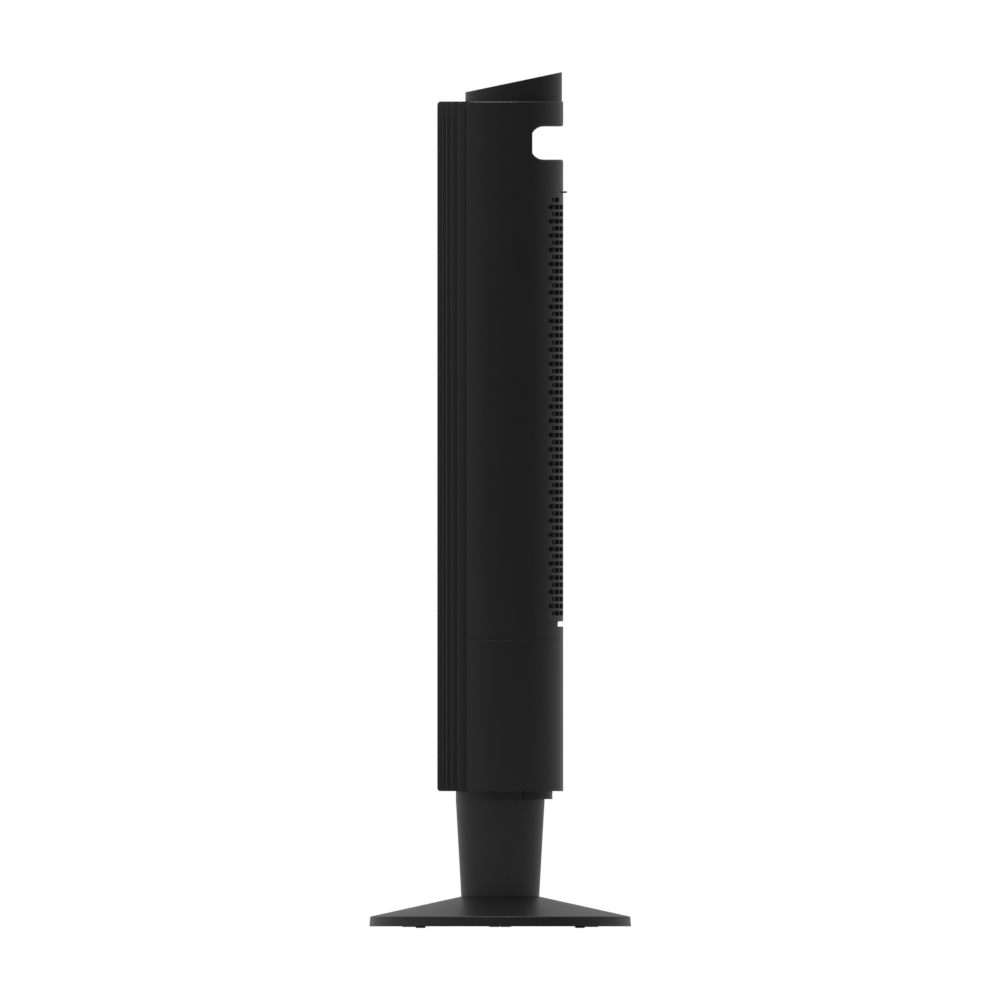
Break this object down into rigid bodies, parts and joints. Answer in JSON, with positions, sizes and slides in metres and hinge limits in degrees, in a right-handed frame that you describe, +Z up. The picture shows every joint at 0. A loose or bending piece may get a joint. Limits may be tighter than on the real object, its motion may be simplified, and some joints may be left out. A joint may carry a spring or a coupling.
{
  "type": "tower fan",
  "caption": "Slim round tower fan with an upright ribbed air outlet, slotted rear intake grille, tilted control pod, rear grip and wide round base.",
  "frame": {"origin": "on the floor at the centre of the round base, under the axis that the column turns about", "axes": "+Z up along the column, -Y to the front where the air comes out, +X to the fan's left side"},
  "size_m": [0.3272, 0.3272, 1.0698],
  "materials": {
    "housing_plastic": "fine satin mould texture",
    "grille_plastic": "satin",
    "base_plastic": "satin",
    "panel_plastic": "semi-gloss",
    "button_plastic": "satin",
    "smoked_window": "polished",
    "rubber": "matt",
    "foam": "matt",
    "ballast_steel": "coated",
    "zinc_steel": "zinc plated",
    "nylon": "natural",
    "wheel_plastic": "satin",
    "motor_shell": "pressed",
    "lamination_steel": "stacked laminations",
    "copper": "enamelled wire",
    "bronze": "sintered",
    "circuit_board": "solder mask",
    "component_plastic": "moulded"
  },
  "bodies": {
    "stand": {"base_shell": "base_plastic", "base_cover": "base_plastic", "base_weight": "ballast_steel", "backing_plate": "zinc_steel", "rubber_feet": "rubber", "base_pads": "foam", "base_screws": "zinc_steel", "neck_column": "base_plastic", "neck_screws": "zinc_steel", "turntable_hub": "nylon", "hub_screws": "zinc_steel", "thrust_washer": "nylon", "oscillation_gear": "nylon", "gear_screws": "zinc_steel"},
    "tower": {"stepper_motor": "motor_shell", "stepper_bracket": "component_plastic", "stepper_screws": "zinc_steel", "lower_rear_housing": "housing_plastic", "lower_front_cover": "grille_plastic", "front_grille": "grille_plastic", "upper_rear_housing": "housing_plastic", "top_cover": "housing_plastic", "cord_gland": "rubber", "main_board": "circuit_board", "board_components": "component_plastic", "motor_deck": "component_plastic", "motor_mounts": "rubber", "motor_screws": "zinc_steel", "motor_housing": "motor_shell", "motor_stator": "lamination_steel", "motor_windings": "copper", "motor_bushes": "bronze", "bearing_plate": "component_plastic", "bearing_boot": "rubber", "top_bearing": "bronze", "scroll_guide": "wheel_plastic", "vortex_tongue": "wheel_plastic", "control_pod": "housing_plastic", "pod_screws": "zinc_steel", "control_panel": "panel_plastic", "display_window": "smoked_window", "display_board": "circuit_board", "display_module": "component_plastic", "tact_switches": "component_plastic"},
    "pinion": {"drive_pinion": "nylon"},
    "impeller": {"motor_rotor": "lamination_steel", "motor_shaft": "zinc_steel", "wheel_hub": "rubber", "hub_screw": "zinc_steel", "impeller_wheel": "wheel_plastic", "wheel_stub": "zinc_steel"},
    "rear_panel": {"rear_grille": "grille_plastic", "grille_ribs": "grille_plastic"},
    "power_key": {"power_button": "button_plastic"},
    "speed_key": {"speed_button": "button_plastic"},
    "mode_key": {"mode_button": "button_plastic"},
    "swing_key": {"swing_button": "button_plastic"},
    "timer_key": {"timer_button": "button_plastic"}
  },
  "joints": [
    {"name": "oscillation", "type": "hinge", "parent": "stand", "child": "tower", "pos_m": [0, 0, 0.1745], "axis": [0, 0, 1], "range_deg": [-45, 45]},
    {"name": "pinion_spin", "type": "hinge", "parent": "tower", "child": "pinion", "pos_m": [0, -0.0405, 0.18], "axis": [0, 0, 1], "range_deg": [-90, 90]},
    {"name": "impeller_spin", "type": "hinge", "parent": "tower", "child": "impeller", "pos_m": [0, 0.008, 0.64], "axis": [0, 0, 1], "continuous": true},
    {"name": "panel_tilt", "type": "hinge", "parent": "tower", "child": "rear_panel", "pos_m": [0, 0.07065, 0.385], "axis": [-1, 0, 0], "range_deg": [0, 20]},
    {"name": "power_press", "type": "slide", "parent": "tower", "child": "power_key", "axis": [0, 0.205, -0.9788], "range_m": [0, 0.0008], "stiffness_N_per_m": 800, "springref_m": -0.0004},
    {"name": "speed_press", "type": "slide", "parent": "tower", "child": "speed_key", "axis": [0, 0.205, -0.9788], "range_m": [0, 0.0008], "stiffness_N_per_m": 800, "springref_m": -0.0004},
    {"name": "mode_press", "type": "slide", "parent": "tower", "child": "mode_key", "axis": [0, 0.205, -0.9788], "range_m": [0, 0.0008], "stiffness_N_per_m": 800, "springref_m": -0.0004},
    {"name": "swing_press", "type": "slide", "parent": "tower", "child": "swing_key", "axis": [0, 0.205, -0.9788], "range_m": [0, 0.0008], "stiffness_N_per_m": 800, "springref_m": -0.0004},
    {"name": "timer_press", "type": "slide", "parent": "tower", "child": "timer_key", "axis": [0, 0.205, -0.9788], "range_m": [0, 0.0008], "stiffness_N_per_m": 800, "springref_m": -0.0004}
  ],
  "couplings": [
    {"joint": "pinion_spin", "follows": "oscillation", "ratio": 2}
  ]
}
